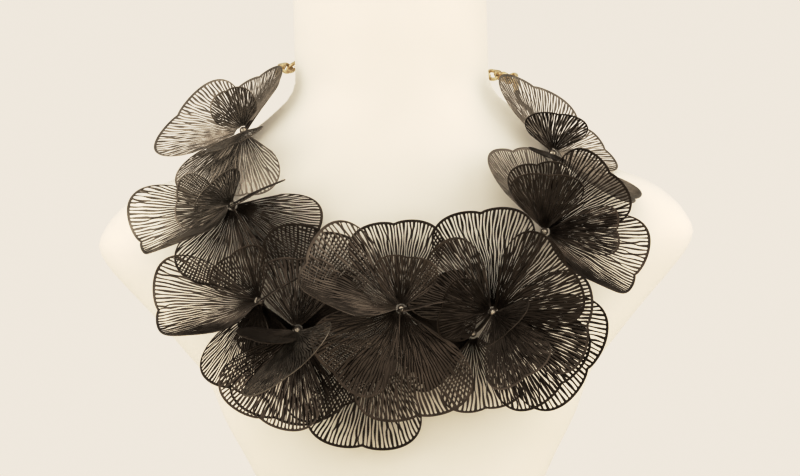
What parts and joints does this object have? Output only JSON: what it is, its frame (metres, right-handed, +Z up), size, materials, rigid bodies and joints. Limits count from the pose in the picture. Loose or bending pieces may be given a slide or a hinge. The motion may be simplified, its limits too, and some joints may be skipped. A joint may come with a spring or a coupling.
{
  "type": "layered necklace on a neck bust",
  "caption": "Layered necklace of pierced, fan-shaped metal leaves gathered in open flowers on a curved wire collar, with a back chain and clasp, worn by a plain neck bust.",
  "frame": {"origin": "centre of the bust's flat foot, on the surface it stands on", "axes": "+Z up the neck, +X to the right of a viewer who faces the necklace, +Y from the chest to the back"},
  "size_m": [0.34, 0.208, 0.33],
  "materials": {
    "bust_cover": "matt cream cover",
    "brass": "satin, slightly aged",
    "leaf_lacquer": "satin dark brown lacquer on etched sheet",
    "silver_caps": "polished white metal, on the beads and caps at the front of the collar's spindles"
  },
  "bodies": {
    "root": {"bust_form": "bust_cover", "collar": "brass", "back_chain": "brass", "clasp": "brass", "leaf_a1": "leaf_lacquer", "leaf_a2": "leaf_lacquer", "leaf_a3": "leaf_lacquer", "leaf_a4": "leaf_lacquer", "leaf_a5": "leaf_lacquer", "leaf_a6": "leaf_lacquer", "leaf_b1": "leaf_lacquer", "leaf_b2": "leaf_lacquer", "leaf_b3": "leaf_lacquer", "leaf_b6": "leaf_lacquer", "leaf_b7": "leaf_lacquer", "leaf_b8": "leaf_lacquer", "leaf_c1": "leaf_lacquer", "leaf_c2": "leaf_lacquer", "leaf_c3": "leaf_lacquer", "leaf_c4": "leaf_lacquer", "leaf_c5": "leaf_lacquer", "leaf_d1": "leaf_lacquer", "leaf_d2": "leaf_lacquer", "leaf_d3": "leaf_lacquer", "leaf_d4": "leaf_lacquer", "leaf_d5": "leaf_lacquer", "leaf_d6": "leaf_lacquer", "leaf_d7": "leaf_lacquer", "leaf_d8": "leaf_lacquer", "leaf_d9": "leaf_lacquer", "leaf_e1": "leaf_lacquer", "leaf_e2": "leaf_lacquer", "leaf_e3": "leaf_lacquer", "leaf_e4": "leaf_lacquer", "leaf_e5": "leaf_lacquer", "leaf_e6": "leaf_lacquer", "leaf_e7": "leaf_lacquer", "leaf_f1": "leaf_lacquer", "leaf_f2": "leaf_lacquer", "leaf_f3": "leaf_lacquer", "leaf_f4": "leaf_lacquer", "leaf_f5": "leaf_lacquer", "leaf_f6": "leaf_lacquer", "leaf_f8": "leaf_lacquer", "leaf_f9": "leaf_lacquer", "leaf_f10": "leaf_lacquer", "leaf_g1": "leaf_lacquer", "leaf_g2": "leaf_lacquer", "leaf_g3": "leaf_lacquer", "leaf_g4": "leaf_lacquer", "leaf_g5": "leaf_lacquer", "leaf_g6": "leaf_lacquer", "leaf_h1": "leaf_lacquer", "leaf_h2": "leaf_lacquer", "leaf_h3": "leaf_lacquer", "leaf_h4": "leaf_lacquer", "leaf_h5": "leaf_lacquer", "leaf_i1": "leaf_lacquer", "leaf_j1": "leaf_lacquer", "leaf_j2": "leaf_lacquer"}
  },
  "joints": []
}
